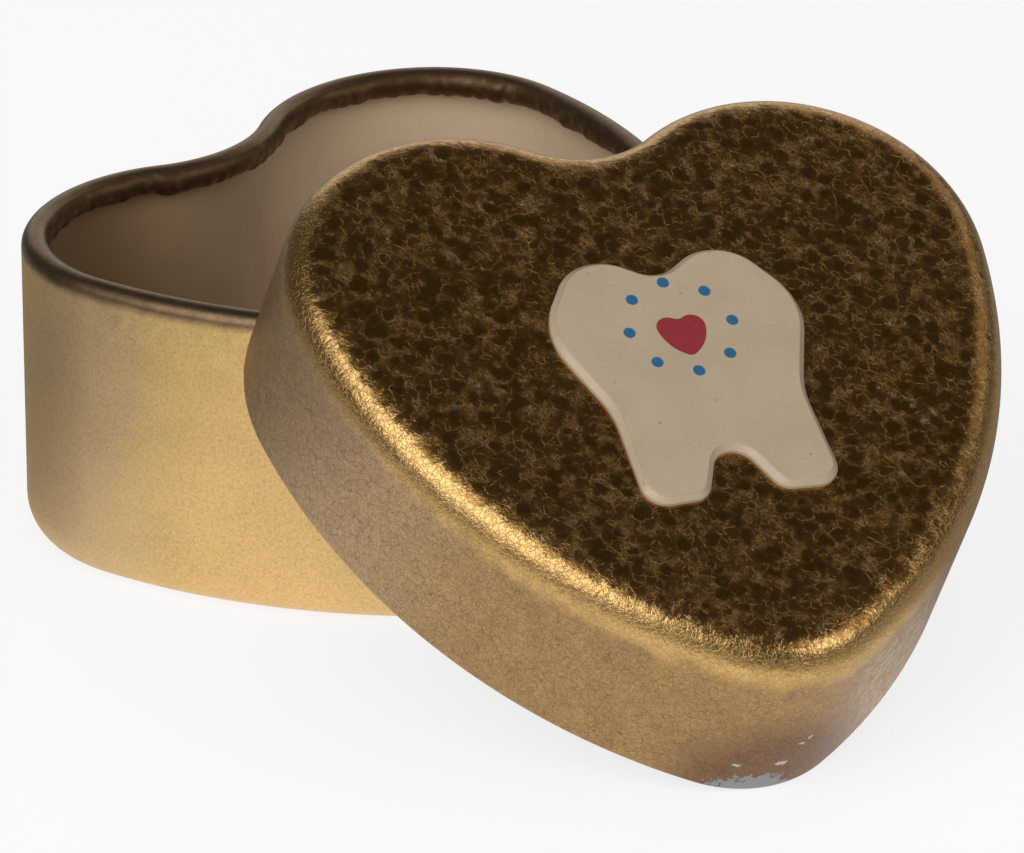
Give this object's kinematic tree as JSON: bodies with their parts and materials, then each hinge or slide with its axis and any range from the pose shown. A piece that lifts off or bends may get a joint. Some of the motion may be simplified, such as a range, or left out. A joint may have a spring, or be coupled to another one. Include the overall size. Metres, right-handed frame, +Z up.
{
  "type": "heart keepsake tin",
  "caption": "Small heart-shaped slip-lid tin in satin gold, its crackled lid leant on the open base, with a raised cream tooth on the lid.",
  "frame": {"origin": "on the flat underside of the base, where the line between the two lobes' centres meets the heart's long axis", "axes": "+Y along the heart's long axis from its tip to its notch, +Z up, +X to the right across the lobes"},
  "size_m": [0.0599, 0.0825, 0.0391],
  "materials": {
    "satin_gold_tin": "satin gold lacquer with a fine grain",
    "crackle_gold_tin": "glossy gold lacquer with a fine crackle",
    "cream_enamel": "satin cream enamel",
    "red_print": "matt print",
    "blue_print": "matt print"
  },
  "bodies": {
    "base": {"base_shell": "satin_gold_tin"},
    "lid": {"lid_shell": "crackle_gold_tin", "tooth_enamel": "cream_enamel", "printed_heart": "red_print", "printed_dots": "blue_print"}
  },
  "joints": [
    {"name": "lid_lift", "type": "slide", "parent": "base", "child": "lid", "axis": [-0.1674, -0.4776, 0.8625], "range_m": [0, 0.03]}
  ]
}
